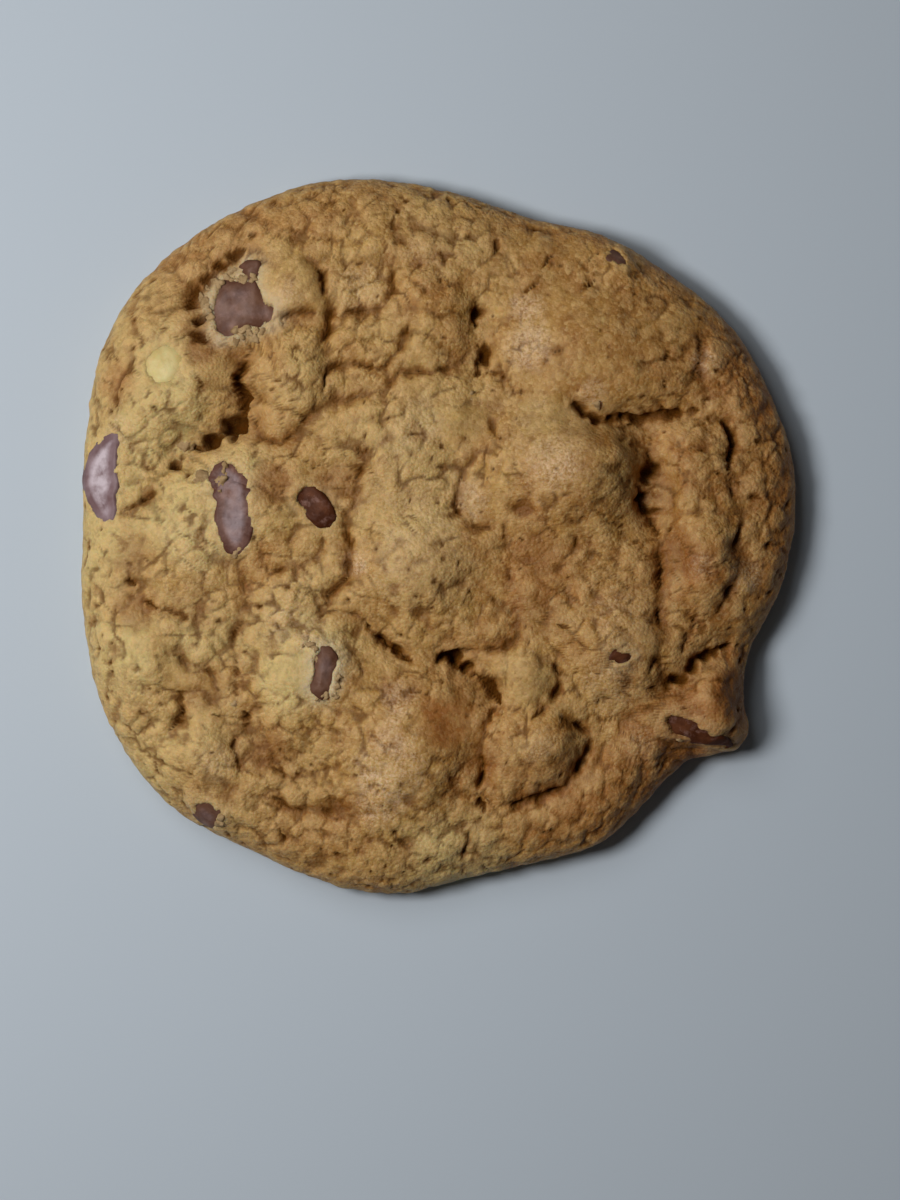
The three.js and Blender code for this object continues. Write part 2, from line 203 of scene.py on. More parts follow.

# ---- Tints: (x, y, radius, amount) ----
# Browner spots: browning of the crust, and painted shade in hollows and on slopes turned from the
# light.
BROWN_AND_SHADE = [
    (0.8, -21.5, 3.2, 1.1), (3, -25, 5, 0.6), (11, -27, 5, 0.4), (12, -33, 4, 0.3),
    (-3.5, -4, 6, 0.3), (22, 17, 6, 0.2), (9, -3, 7, 0.45), (32, -3.5, 3.5, 0.45), (-12, 40, 7, 0.3),
    (-24, 37, 6, 0.5), (-33, 29, 6, 0.45), (-29, 33, 5, 0.3), (36, 20, 7, 0.3), (38.5, 8, 6, 0.15),
    (36, 14, 5, 0.2), (39, -5, 5, 0.15), (-18, -37, 7, 0.4), (-27, -30, 5, 0.3), (22, -31, 8, 0.6),
    (-38.5, -22, 5, 0.25), (28, -10, 4, 0.4), (14, -29, 5, 0.3), (-38, 18, 2.5, 0.7), (34, -19, 5, 1),
    (-9, -33, 5, 0.35), (-20.5, -3.5, 2.5, 0.5), (28, 8, 5, 0.5), (28, -3, 5, 0.7), (28, -22, 6, 0.6),
    (30, 20, 5, 0.4), (-20, 13, 4, 0.6), (-21, 21, 3.5, 0.6), (3, -17, 5, 0.4), (-4, -18, 3, 0.4),
    (5, -34, 5, 0.4), (12, -4, 5, 0.4), (-28, 25, 3, 0.5), (-19.5, 30.5, 3, 0.4), (29, -26, 4, 0.6),
    (0, 33, 7, 0.35), (-37, -7, 4, 0.5), (-28, 22.3, 3, 0.8), (-36, -2, 3, 0.3), (-22, -24, 4, 0.3),
    (-27, -7, 5, 0.3), (-19.4, 6.6, 2.8, 0.7), (-11.4, 6, 3, 0.5), (-20, -26, 3, 0.3),
]
# Paler spots: light-coloured dough, and painted light on a few dome flanks.
PALE_AND_LIT = [
    (-33, 14, 6, 0.8), (-29, 2, 6, 0.9), (-23, 8.5, 4, 0.7), (-38, -15, 5, 0.7),
    (-14.5, -13.5, 4.5, 0.9), (-18, -18, 3.5, 0.8), (-19, 30, 4, 0.2), (-31, 22, 4, 0.6),
    (-28, -11, 5, 0.5), (14, 12, 5, 0.45), (10, -17, 4, 0.5), (10, -26, 3.5, 0.5),
    (-16, 19, 4.5, 0.3), (-3, 25, 4, 0.15), (-20, 2.5, 3, 0.3), (-26, -24, 5, 0.35),
    (4, -37.5, 5, 0.45), (27, 15, 4, 0.2), (-4, 8, 8, 0.5), (-2, -3, 6, 0.5), (3, 17, 5, 0.3),
    (-20, -12, 5, 0.4), (-32.8, 19.4, 3.4, 1), (-39.5, 8, 5, 0.6), (-39.5, -2, 5, 0.6),
    (2, -40, 7, 0.7), (-15, -6, 4, 0.3), (6.5, 34, 4, 0.2), (20, 6, 3, 0.4), (20, -18, 3, 0.35),
    (3, 39, 7, 0.3),
]
# Sugared patches: lighter sugar in the crust, with painted glints among its specks.
SUGAR = [
    (-5.5, -26.5, 4.6, 0.7), (-7, -31, 3, 0.7), (-4.5, -19.4, 2.2, 0.8), (10.5, 22.5, 2.6, 0.8),
    (10.6, 26.8, 2, 0.8), (-1, 33, 3, 0.25), (-9, 29, 3, 0.4), (14, 8.6, 2.8, 0.6),
    (3.5, 4.4, 2.2, 0.6), (31.6, 20.6, 1.8, 0.8), (18.2, 16.4, 1.8, 0.6), (36.4, -4.6, 1.8, 0.7),
    (22, -10, 4, 0.35), (20, -17.6, 3.4, 0.35), (-10, -3.4, 1.6, 0.8), (-2.6, 13, 3.4, 0.35),
    (-17.8, 28.2, 2, 0.5), (-25.8, -26.6, 2.4, 0.5), (24, -24.6, 2.4, 0.4), (12, -24.5, 2, 0.4),
    (-37.5, 12.6, 2, 0.4), (-22.3, 31.4, 1.6, 0.5), (-15.8, -12.2, 1.3, 0.9), (-12, -17.4, 1.3, 0.9),
    (-18.4, -10.6, 2, 0.4), (-26, 7, 3, 0.3), (31, -3, 1.6, 0.5), (-2, -3, 6, 0.25), (13, 9, 6, 0.25),
    (-3, 5, 7, 0.2), (-17, -9, 4, 0.25), (-29, -1, 4, 0.2),
]
# Where the crust is smooth, and where it is clumpy.
SMOOTH = [
    (-17.2, 29.5, 5, 0.8), (14, 11.4, 6, 0.8), (3.2, 13, 3.4, 0.8), (4.4, 5, 3, 0.6),
    (-34, -12.6, 3.4, 0.7), (-31, -16.6, 1.9, 0.9), (-26.2, -17.2, 1.6, 0.9), (-32.4, 20.4, 4, 0.6),
    (-17.4, -16, 2.6, 0.8), (-3, 17.6, 3, 0.6), (-2.4, 21.8, 2.4, 0.5), (-3, -3, 5, 0.35),
    (-16, 4, 4, 0.5), (1, -22, 3.6, 0.9), (10, -17, 3.4, 0.6), (24, -12, 3, 0.4), (17, 21, 9, 0.7),
    (12, 32, 7, 0.5), (-6, -27, 6, 0.5), (14, -31, 6, 0.3), (36, -8, 5, 0.4), (28, 26, 5, 0.4),
]
CLUMPY = [
    (-18, -7, 6, 1), (-27, -12, 6, 0.8), (-27, -3, 5, 0.5), (-22, -21, 5, 0.8), (-33, -22, 5, 0.5),
    (-13, 24, 7, 0.9), (-4, 32, 8, 0.4), (-14, 33, 6, 0.8), (-17, 18, 6, 0.7), (-10, 10, 5, 0.4),
    (-14, -30, 7, 0.7), (-20, -32, 5, 0.6), (3, -12, 6, 0.6), (8, -22, 5, 0.6), (0, -33, 6, 0.6),
    (12, -33, 6, 0.6), (22, -28, 6, 0.6), (26, -18, 5, 0.6), (34, 10, 6, 0.7), (33, 22, 5, 0.4),
    (20, -4, 6, 0.5), (12, 3, 4, 0.4), (-34, 8, 5, 0.5), (-38, -10, 5, 0.6), (-30, 30, 6, 0.6),
    (36, -6, 5, 0.5), (-1, 20, 5, 0.4),
]
# Hollows between the lumps, sunk and darkened with painted shade.
HOLLOWS = [
    (-21.8, 13, 1.8, 0.7), (-19.6, 6.2, 2.4, 0.7), (-27.8, 22.2, 2.4, 0.7), (-23.4, 21.4, 2.2, 0.6),
    (-21.6, 17, 1.8, 0.5), (-11.8, 6.4, 2.6, 0.7), (27.6, -2, 3.2, 0.8), (28.4, -26, 3, 0.9),
    (4.2, -18, 3, 0.7), (-27.4, -18.6, 2.4, 0.6), (-20, -25.6, 2.8, 0.7), (-4, -18, 2.4, 0.5),
    (-36.4, -9, 2.6, 0.5), (35.6, -18.6, 3.2, 1), (28, -17.6, 2.6, 0.6), (-29, -8.6, 3, 0.4),
    (11.6, -9, 3, 0.5), (4.8, -26.6, 2.4, 0.7), (-36, -2, 2.6, 0.5), (12, -2.4, 3, 0.4),
    (26.4, 5, 3, 0.5), (5, 14, 2.6, 0.3), (9.8, 3.2, 1.2, 0.9), (0, 40.9, 0.8, 0.8),
    (-2.5, -9, 0.8, 0.8),
]

# ---- Domes and dips of the crust: (x, y, reach to the left, right, top and bottom, height) ----
DOMES = [
    (17.4, 8.2, 9.6, 7, 6, 8, 1.7), (-1.5, -4, 7.5, 9, 7, 6, 1.3),
    (-13.5, -15.5, 6, 5.5, 5, 5.5, 0.9), (-2, -25.5, 7, 6, 7, 8, 1), (32.5, -1.5, 4, 4, 9, 8, 0.8),
    (20, -13.2, 5.5, 6, 5, 6.5, 0.8), (13, -24.5, 5.5, 4.5, 5, 6, 0.9),
    (-18, 18.5, 4.5, 5.5, 6, 5.5, 0.8), (-21, 4, 7, 8, 7, 7, 0.7), (-30, -1, 5, 5, 5.5, 6, 0.7),
    (-17.5, -7, 4.5, 4, 4, 3.5, 0.6), (-35, -14, 5, 5, 4, 4.5, 0.7), (-34.5, -20, 4, 3.5, 3, 4, 0.4),
    (-27.5, -25.5, 4.5, 4, 4.5, 5, 0.6), (-1, 27, 5, 4.8, 5, 6.5, 0.9),
    (17.5, 22, 9.5, 9, 6.5, 7.5, 0.7), (-17, 29, 5, 4, 4, 3.6, 0.7), (9.5, -16.5, 4, 4, 3.5, 4, 0.6),
    (-4, 9, 5.5, 6, 6, 5, 0.6), (-6.5, 34.5, 4, 4, 4, 4, 0.5), (3, 13, 4, 3.6, 2.5, 2.2, 0.5),
    (33.5, -19.5, 4, 3, 5, 5, 0.2), (-34, 16, 5, 5, 5, 5, 0.4), (5, -8, 4.5, 5, 5, 3, -0.5),
    (-16, -27, 5, 5, 3.5, 3.5, -0.5), (26, 6, 3, 2.5, 6, 7, -1.2), (27.4, -4, 3, 2.5, 5, 6, -0.6),
    (-27, 24, 3, 3, 3, 2.5, -0.7), (-13, 8, 3, 3, 3, 3, -0.4), (-3, 21.5, 3, 3, 2.5, 2.5, 0.4),
    (-11, 24, 3, 3, 3, 3, 0.4), (-12, 30, 3, 3, 3, 3, 0.4), (9, 32, 5, 6, 4, 4, 0.4),
    (24, -24, 4, 4, 4, 4, 0.4),
]

# Crumbs of dough that stick to the chips and lie in the hollows: (x, y, length, height).
CRUMBS = [
    (-27.9, 28.3, 1.3, 0.1), (-27.6, 27.4, 1.2, 0.1), (-27.1, 26.6, 1.1, 0.1), (-26.7, 25.8, 1, 0.1),
    (-27.3, 29.3, 1.2, 0.1), (-26.2, 29.9, 1.3, 0.1), (-25.2, 30.7, 1.4, 0.1),
    (-24.2, 31.4, 1.4, 0.1), (-24.2, 30.2, 1.2, 0.1), (-23.1, 30.1, 1.2, 0.1), (-21.9, 30.4, 1, 0.1),
    (-24.1, 24.2, 1.3, 0.1), (-23.2, 24.4, 1.4, 0.1), (-22.3, 24.2, 1.3, 0.1),
    (-21.4, 24.2, 1.2, 0.1), (-22.9, 23.4, 1.2, 0), (-21.8, 23.2, 1.1, 0), (-20.6, 24, 1.1, 0.1),
    (-23.8, 23.2, 1.1, 0), (-27.4, 23.6, 1.4, 0), (-25.5, 6.7, 1.9, 0.1), (-25.2, 7.9, 1.1, 0.1),
    (-25.6, 5.3, 1, 0.1), (-23.9, -1.8, 1.3, 0), (-13.3, -19.1, 0.9, 0.1), (-14.2, -19.2, 0.7, 0.1),
    (-11.7, -16.8, 0.9, 0.1), (-11.6, -17.8, 0.8, 0.1), (-12, -18.7, 0.8, 0), (-15.6, -12, 0.8, 0.1),
    (-15.1, -12.7, 0.9, 0.1), (-14.6, -13.3, 0.8, 0.1), (-15.9, -12.9, 0.7, 0),
    (-14.3, -14.5, 0.7, 0), (-25.9, -33.6, 1.3, 0.1), (-29.4, 10.4, 1.5, 0), (-24.3, -19.6, 0.7, 0),
    (18.6, 15.4, 1.7, 0), (28.4, -24.1, 1, 0), (4, 16.6, 1.2, 0), (-28, 6.7, 1.4, 0.1),
]


# ---- Fields over points ----
CRACK_REACH = 5  # how far from a crack its valley still counts


def perlin(points, size, seed):
    """Perlin noise of this grain size at each point, from -1 to 1."""
    spots = points / size + 17.3 * seed
    return np.array([noise.noise(p) for p in spots.tolist()])


def cells(points, size, seed):
    """Voronoi cells: the distance to the nearest feature, to the nearest border, and a number
    from 0 to 1 that is the cell's own."""
    near, border, own = [], [], []
    for p in (points / size + 11.9 * seed).tolist():
        distances, features = noise.voronoi(p)
        near.append(distances[0])
        border.append(distances[1] - distances[0])
        f = features[0]
        own.append(math.sin(127.1 * f[0] + 311.7 * f[1] + 74.7 * f[2]) * 43758.5453 % 1)
    return np.array(near), np.array(border), np.array(own)


def step(low, high, values):
    """A smooth step from 0 at low to 1 at high."""
    share = np.clip((values - low) / (high - low), 0, 1)
    return share * share * (3 - 2 * share)


def swell(plan, domes):
    """The height of the domes, less the depth of the dips, at each point."""
    height = np.zeros(len(plan))
    for x, y, left, right, up, down, rise in domes:
        dx, dy = plan[:, 0] - x, plan[:, 1] - y
        away = np.hypot(dx / np.where(dx < 0, left, right), dy / np.where(dy < 0, down, up))
        height += rise * np.clip(1 - (away / 1.15) ** 2, 0, 1) ** 2
    return height


def along(plan, course):
    """Each point's distance to a course, and how far it lies along it from the nearer end."""
    nearest = np.full(len(plan), np.inf)
    place = np.zeros(len(plan))
    run = 0.0
    for a, b in zip(course, course[1:]):
        a, b = np.array(a), np.array(b)
        length = math.dist(a, b)
        share = np.clip((plan - a) @ (b - a) / length**2, 0, 1)
        distance = np.linalg.norm(plan - a - share[:, None] * (b - a), axis=1)
        closer = distance < nearest
        nearest = np.where(closer, distance, nearest)
        place = np.where(closer, run + share * length, place)
        run += length
    return nearest, np.minimum(place, run - place)


def carve(plan, cracks, ragged, patchy, valley, valley_width):
    """The depth that cracks cut at each point, how far inside a crack it is, and how much painted
    shade darkens it along the crack, both from 0 to 1. A crack is ragged in width, and patchy in
    depth."""
    depth = np.zeros(len(plan))
    inside = np.zeros(len(plan))
    hollow_shade = np.zeros(len(plan))
    for half, deep, course in cracks:
        low = np.min(course, axis=0) - CRACK_REACH
        high = np.max(course, axis=0) + CRACK_REACH
        near = np.all((plan > low) & (plan < high), axis=1)
        distance, end = along(plan[near], course)
        taper = 0.45 + 0.55 * np.clip(end / 1.2, 0, 1)
        width = half * taper * (1 + 0.6 * ragged[near])
        slit = (1 - step(0.25, 1.25, distance / width)) * patchy[near]
        dip = valley * min(1, deep) * taper * np.exp(-(distance / valley_width) ** 2)
        dip *= 0.4 + 0.6 * patchy[near]
        depth[near] = np.maximum(depth[near], slit * deep * taper + dip)
        inside[near] = np.maximum(inside[near], slit * min(1, 0.35 + 0.5 * deep))
        browning_and_shade = np.exp(-(distance / (half + 0.55)) ** 2) * taper * min(1, 0.3 + 0.7 * deep)
        hollow_shade[near] = np.maximum(hollow_shade[near], browning_and_shade * (0.5 + 0.5 * patchy[near]))
    return depth, inside, hollow_shade


def blotches(plan, spots, wobble):
    """The sum of soft round spots, their borders drawn uneven by wobble."""
    total = np.zeros(len(plan))
    for x, y, radius, amount in spots:
        away = np.hypot(plan[:, 0] - x, plan[:, 1] - y) / radius
        total += amount * (1 - step(0.45, 1.35, away + 0.35 * wobble))
    return total


def beyond(plan, border):
    """Each point's distance outside a closed border, less than nothing inside it."""
    distance, _ = along(plan, border + border[:1])
    inside = np.zeros(len(plan), bool)
    x, y = plan[:, 0], plan[:, 1]
    for (ax, ay), (bx, by) in zip(border, border[1:] + border[:1]):
        if ay != by:
            inside ^= ((y < ay) != (y < by)) & (x < ax + (y - ay) * (bx - ax) / (by - ay))
    return np.where(inside, -distance, distance)


def blur(grid, radius):
    """A grid smoothed by a Gaussian of this radius in cells."""
    reach = math.ceil(2.5 * radius)
    weights = np.exp(-0.5 * (np.arange(-reach, reach + 1) / radius) ** 2)
    weights /= weights.sum()
    for axis in (0, 1):
        margins = [(reach, reach) if i == axis else (0, 0) for i in range(grid.ndim)]
        padded = np.pad(grid, margins, mode="edge")
        size = grid.shape[axis]
        grid = sum(w * np.take(padded, range(i, i + size), axis) for i, w in enumerate(weights))
    return grid


# ---- The dough's broad form ----

def tree_of(*meshes):
    """A search tree of meshes, in millimetres."""
    points, faces = [], []
    for mesh in meshes:
        start = len(points)
        points += [v.co / MM for v in mesh.vertices]
        faces += [[start + i for i in face.vertices] for face in mesh.polygons]
    return BVHTree.FromPolygons(points, faces)


def outline(tree, directions):
    """The dough's reach at its brim in each direction, smoothed round the outline."""
    found = []
    for i in range(OUTLINE_STEPS):
        turn = 2 * math.pi * i / OUTLINE_STEPS
        out = Vector((math.cos(turn), math.sin(turn), 0))
        hit = tree.ray_cast(out * OUTSIDE + Vector((0, 0, PILLOW_BRIM)), -out)
        found.append(OUTSIDE - hit[3] + CRUST)
    ring = np.array(found)
    weights = (1, 3, 6, 7, 6, 3, 1)
    ring = sum(w * np.roll(ring, k) for k, w in zip(range(-3, 4), weights)) / sum(weights)
    place = (directions / (2 * math.pi) % 1) * OUTLINE_STEPS
    return np.interp(place, np.arange(OUTLINE_STEPS + 1), np.append(ring, ring[0]))


def disc(count):
    """The share of the way out and the direction of each point of a square grid laid on a disc."""
    u, v = np.meshgrid(np.linspace(-1, 1, count + 1), np.linspace(-1, 1, count + 1), indexing="ij")
    wide = np.abs(u) > np.abs(v)
    span = np.where(wide, u, np.where(v == 0, 1, v))
    slant = np.where(wide, v, u) / span * math.pi / 4
    turn = np.where(wide, slant, math.pi / 2 - slant) + np.where(span < 0, math.pi, 0)
    return np.maximum(np.abs(u), np.abs(v)), turn


def pillow(share, turn, reach):
    """Points and outward directions on the pillow, from its top's middle at 0 to its foot at 1."""
    flat = reach - PILLOW_EDGE
    upper = 0.5 * math.pi * math.hypot(PILLOW_EDGE, PILLOW_TOP - PILLOW_BRIM) / math.sqrt(2)
    lower = 0.5 * math.pi * math.hypot(PILLOW_FOOT, PILLOW_BRIM) / math.sqrt(2)
    path = share * (flat + upper + lower)
    over = np.clip((path - flat) / upper, 0, 1) * math.pi / 2
    under = np.clip((path - flat - upper) / lower, 0, 1) * math.pi / 2
    radius = np.minimum(path, flat) + PILLOW_EDGE * np.sin(over) - PILLOW_FOOT * (1 - np.cos(under))
    height = PILLOW_BRIM + (PILLOW_TOP - PILLOW_BRIM) * np.cos(over) - PILLOW_BRIM * np.sin(under)
    below = under > 0
    out = np.where(below, np.cos(under) / PILLOW_FOOT, np.sin(over) / PILLOW_EDGE)
    up = np.where(below, -np.sin(under) / PILLOW_BRIM, np.cos(over) / (PILLOW_TOP - PILLOW_BRIM))
    size = np.hypot(out, up)
    out, up = out / size, up / size
    points = np.stack([radius * np.cos(turn), radius * np.sin(turn), height], -1)
    directions = np.stack([out * np.cos(turn), out * np.sin(turn), up], -1)
    return points, directions


def broad_form():
    """The grid of the smoothed surface, and each point's share of the way out."""
    nodes = frame["nodes"]
    dough = tree_of(nodes["dough"].data)
    inclusions = tree_of(*[node.data for name, node in nodes.items() if name != "dough"])
    share, turn = disc(CELLS)
    reach = outline(dough, turn)
    points, out = pillow(share, turn, reach)
    rise = np.zeros(share.shape)
    known = np.zeros(share.shape)
    for i in np.ndindex(share.shape):
        start, way = Vector(points[i] + REACH * out[i]), -Vector(out[i])
        hit = dough.ray_cast(start, way)[3]
        chip = inclusions.ray_cast(start, way)[3]
        if hit is not None and hit < REACH + DEEPEST and (chip is None or chip > hit + 0.5):
            rise[i] = REACH - hit
            known[i] = 1
    # Over the chips and their pockets the form is carried on from what lies round them.
    known = (blur(known, 1) > 0.98).astype(float)
    cell = 2 * reach.mean() / CELLS
    around = blur(rise * known, BRIDGE / cell) / np.maximum(blur(known, BRIDGE / cell), 1e-6)
    rise = blur(np.where(known > 0, rise, around), SOFTEN / cell)
    rise *= 1 - step(0.985, 1.0, share)
    return points + rise[..., None] * out, share


# ---- The dough's fine form ----

class Crust:
    """The dough's smoothed surface, and the fields that make it uneven."""

    def __init__(self):
        grid, share = broad_form()
        self.shape = share.shape
        self.points = points = grid.reshape(-1, 3)
        facing = np.cross(np.gradient(grid, axis=0), np.gradient(grid, axis=1)).reshape(-1, 3)
        self.out = facing / np.linalg.norm(facing, axis=1, keepdims=True)
        self.on_top = step(0.15, 0.6, self.out[:, 2])
        self.rim = step(0.66, 0.86, share.ravel())

        self.ragged = perlin(points, 1.1, 5)
        self.bitten = perlin(points, 1.0, 17)
        self.middling = perlin(points, 3.2, 7)
        self.broad = perlin(points, 9, 6)
        # What is drawn on the crust is drawn crooked.
        self.drift = np.stack([perlin(points, 2.6, k) for k in (1, 2)], -1) * 0.5
        jitter = np.stack([perlin(points, 0.9, k) for k in (3, 4)], -1) * 0.3
        self.plan = points[:, :2] + self.drift + jitter
        self.warped = points + np.pad(0.9 * self.drift + 0.5 * jitter, ((0, 0), (0, 1)))

        self.even = np.clip(self.spots(SMOOTH), 0, 0.85)
        self.even = np.maximum(self.even, 0.5 * step(0.88, 1.0, share.ravel()))
        self.rough = (0.45 + 0.55 * step(-0.3, 0.4, perlin(points, 5, 13))) * (1 - self.even)
        self.clumpy = np.clip(self.spots(CLUMPY), 0, 1) * (1 - self.even)

    def spots(self, places):
        """The sum of soft spots at these places."""
        return blotches(self.points, places, 0.5 * self.middling)


def cracks_in(crust):
    """The cracks' depth at each point, how far inside one it is, and how much painted shade darkens
    it.
    """
    full = np.ones(len(crust.points))
    patchy = 0.25 + 0.75 * step(-0.25, 0.3, perlin(crust.points, 2.0, 16))
    open_wide = 0.3 + 0.7 * step(-0.6, 0.0, crust.ragged)
    carved = [carve(crust.plan, CLEFTS, crust.ragged, open_wide, 0.5, 1.6),
              carve(crust.plan, SEAMS, crust.ragged, patchy, 0.6, 1.3),
              carve(crust.plan, SLITS, crust.ragged, full, 0.1, 0.6)]
    deep, inside, hollow_shade = np.max(carved, axis=0) * crust.on_top
    return deep * (1 + 0.35 * crust.bitten), inside, hollow_shade


def crumbs(points, size, seed):
    """The height of rounded lumps, from -0.6 in their valleys to 0.6, and how far each point is
    from a valley."""
    near, gap, own = cells(points, size, seed)
    return np.clip(1 - near * near * 1.7, 0, 1) * (0.7 + 0.5 * own) - 0.6, gap


def grain_of(crust):
    """The height of the crust's lumps within lumps, and where there are fine cracks in it."""
    rough, warped = crust.rough, crust.warped
    folds = np.abs(perlin(warped, FOLD_SIZE, 8))
    clumps, clump_gap = crumbs(warped, CLUMP_SIZE, 9)
    relief = 0.16 * crust.middling + 0.10 * perlin(crust.points, 1.7, 11)
    relief += rough * (CLUMP_HEIGHT * clumps + FOLD_HEIGHT * (folds - 0.25))
    relief += crust.clumpy * CLUMPY_HEIGHT * clumps
    crumbly = 0.3 + 0.7 * rough
    relief += crumbly * CRUMB_HEIGHT * crumbs(warped, CRUMB_SIZE, 14)[0]
    relief += crumbly * GRAIN_HEIGHT * crumbs(crust.points, GRAIN_SIZE, 15)[0]

    # The fine cracks run along some of the folds and between some of the lumps.
    cracked = step(0.0, 0.35, perlin(crust.points, 2.6, 18)) * step(0.15, 0.5, rough)
    parted = step(-0.05, 0.25, perlin(crust.points, 2.2, 19)) * step(0.15, 0.5, rough)
    parted = np.maximum(parted, crust.clumpy * step(-0.5, 0.0, crust.ragged))
    lines = (1 - step(0.02, 0.11, folds)) * cracked
    lines = np.maximum(lines, (1 - step(0.02, 0.12, clump_gap)) * parted) * crust.on_top
    return relief, lines


def pits_in(crust):
    """How far inside a pit each point is, and how near one. A cell has one at most."""
    near, _, own = cells(crust.warped, PIT_SPACING, 10)
    size = 0.13 + 0.20 * (own * 7.3 % 1) ** 2
    pitted = own < 0.26 + 0.3 * perlin(crust.points, 4, 12) + 0.12 * crust.rim
    amount = pitted * (1 - 0.6 * crust.even)
    return (1 - step(0.5, 1.15, near / size)) * amount, (1 - step(0.8, 2.4, near / size)) * amount


def open_windows(crust, relief, inside):
    """The relief with the windows sunk and their lips raised, how far inside a crack or window
    each point is, and how creamy its lip is."""
    lip = np.zeros(len(crust.points))
    below_brim = 3 * (1 - step(-0.2, 0.05, crust.out[:, 2]))  # where no window opens
    for _, depth, rise, shade, cream, border in WINDOWS:
        gap = blur(beyond(crust.plan, border).reshape(crust.shape), 1.5).ravel()
        gap = gap + 0.4 * crust.bitten + below_brim
        opened = 1 - step(-0.3, 0.12, gap)
        edge = np.exp(-(((gap - 0.5) / 0.55) ** 2))
        relief = relief * (1 - opened) + rise * edge - depth * opened
        # Inside, the window is darkened with painted shade.
        inside = np.maximum(inside * (1 - opened), shade * opened)
        lip = np.maximum(lip, cream * np.exp(-(((gap - 0.35) / 1.1) ** 2)))
    return relief, inside, lip


def tints_of(crust):
    """How browned the crust is, with painted shade on its right away from the key light, how much
    paler, with painted light on its lit left, how sugared and smooth it is, and how much on its side.
    """
    across = crust.points[:, 0] / HALF_WIDTH
    wobble = 0.6 * crust.middling + 0.5 * crust.ragged
    browning_and_shade = blotches(crust.points, BROWN_AND_SHADE, wobble) + crust.rim * 0.22 + 0.25 * crust.broad
    # Painted shade: browner towards the right, the side turned from the key light.
    browning_and_shade += (0.5 + 0.3 * crust.rim) * np.maximum(across, 0)
    pale_and_lit = blotches(crust.points, PALE_AND_LIT, wobble) - 0.2 * crust.broad
    # Painted light: paler towards the lit left.
    pale_and_lit -= across * (0.42 + 0.4 * crust.rim)
    return {
        "browning_and_shade": np.clip(browning_and_shade, 0, 1.4),
        "pale_and_lit": np.clip(pale_and_lit, 0, 1),
        "sugar": np.clip(blotches(crust.points, SUGAR, 1.6 * wobble), 0, 1),
        "even": crust.even,
        "side": 1 - step(-0.2, 0.75, crust.out[:, 2]),
    }


def worked_dough():
    """The worked dough's grid, what its material needs at each point, and its skin without cracks
    or grain, in which the chips are seated."""
    crust = Crust()
    deep, inside, hollow_shade = cracks_in(crust)
    relief, lines = grain_of(crust)
    pits, halo = pits_in(crust)
    hollow = np.clip(crust.spots(HOLLOWS), 0, 1)
    relief -= PIT_DEPTH * pits + LINE_DEPTH * lines + HOLLOW_DEPTH * hollow
    relief *= 1 - 0.8 * inside
    relief -= deep
    relief, inside, lip = open_windows(crust, relief, inside)

    # The foot stays on the floor.
    settle = step(0, 2.2, crust.points[:, 2]) * (1 - 0.35 * (1 - crust.on_top))
    broad_swell = swell(crust.points[:, :2] + 2 * crust.drift, DOMES)
    skin = crust.points + (broad_swell * settle)[:, None] * crust.out
    moved = crust.points + ((relief + broad_swell) * settle)[:, None] * crust.out
    moved[:, 2] = np.maximum(moved[:, 2], 0)

    surround = blur(relief.reshape(crust.shape), 4).ravel()
    looks = tints_of(crust) | {
        # Painted shade in cracks, pits, fine lines and window floors.
        "crevice_shade": np.clip(inside + 0.8 * pits + 0.45 * lines, 0, 1),
        "halo": halo,
        # Painted highlight on the tops of lumps, painted shade in the hollows between them.
        "relief": np.clip((relief - surround) / 0.18, -1, 1),
        "lip": lip,
        # Painted shade along the cracks and in the hollows between the lumps.
        "hollow_shade": np.maximum(hollow_shade, hollow),
    }
    return moved.reshape(*crust.shape, 3), looks, skin


def crown_faces():
    """The faces of the grid wrapped over the crown, as numbers of its points."""
    quads = [INDEX[:-1, :-1], INDEX[1:, :-1], INDEX[1:, 1:], INDEX[:-1, 1:]]
    return np.stack(quads, -1).reshape(-1, 4).tolist()


def dough_mesh(grid, looks):
    """A closed mesh of the grid and a coarser, flat underside that shares its border."""
    across = CELLS // UNDER_STEP
    share, turn = disc(across)
    border = grid[::UNDER_STEP, ::UNDER_STEP]
    under_index = INDEX[::UNDER_STEP, ::UNDER_STEP].copy()
    points = grid.reshape(-1, 3).tolist()
    foot = outline(tree_of(frame["nodes"]["dough"].data), turn) - PILLOW_FOOT
    for i in np.ndindex(share.shape):
        if share[i] < 1:
            radius = share[i] * foot[i]
            x, y = radius * math.cos(turn[i]), radius * math.sin(turn[i])
            hollow = 0.35 * max(0, noise.noise((x / 9, y / 9, 3.1))) * (1 - share[i] ** 6)
            under_index[i] = len(points)
            points.append((x, y, hollow))
        else:
            points[under_index[i]] = (*border[i][:2], 0.0)

    def run(start, end):
        """The points from one corner up to the next, all of the crown's on its border."""
        (a, b), (c, d) = start, end
        if not (a == c and a in (0, across) or b == d and b in (0, across)):
            return [under_index[start]]
        return [INDEX[UNDER_STEP * a + (c - a) * k, UNDER_STEP * b + (d - b) * k]
                for k in range(UNDER_STEP)]

    faces = crown_faces()
    for a, b in np.ndindex(across, across):
        corners = [(a, b), (a, b + 1), (a + 1, b + 1), (a + 1, b)]
        loop = [run(corners[k], corners[(k + 1) % 4]) for k in range(4)]
        faces.append([int(i) for part in loop for i in part])

    mesh = bpy.data.meshes.new("dough_looks")
    mesh.from_pydata([[c * MM for c in p] for p in points], [], faces)
    mesh.shade_smooth()
    for name, values in looks.items():
        padded = np.zeros(len(points), np.float32)
        padded[: len(values)] = values
        if name == "side":
            padded[len(values):] = UNDERSIDE
        mesh.attributes.new(name, "FLOAT", "POINT").data.foreach_set("value", padded)
    return mesh


# ---- Materials ----

def srgb(red, green, blue):
    """A colour given as it looks on a screen, from 0 to 255."""
    def linear(c):
        c /= 255
        return c / 12.92 if c <= 0.04045 else ((c + 0.055) / 1.055) ** 2.4
    return (linear(red), linear(green), linear(blue), 1)


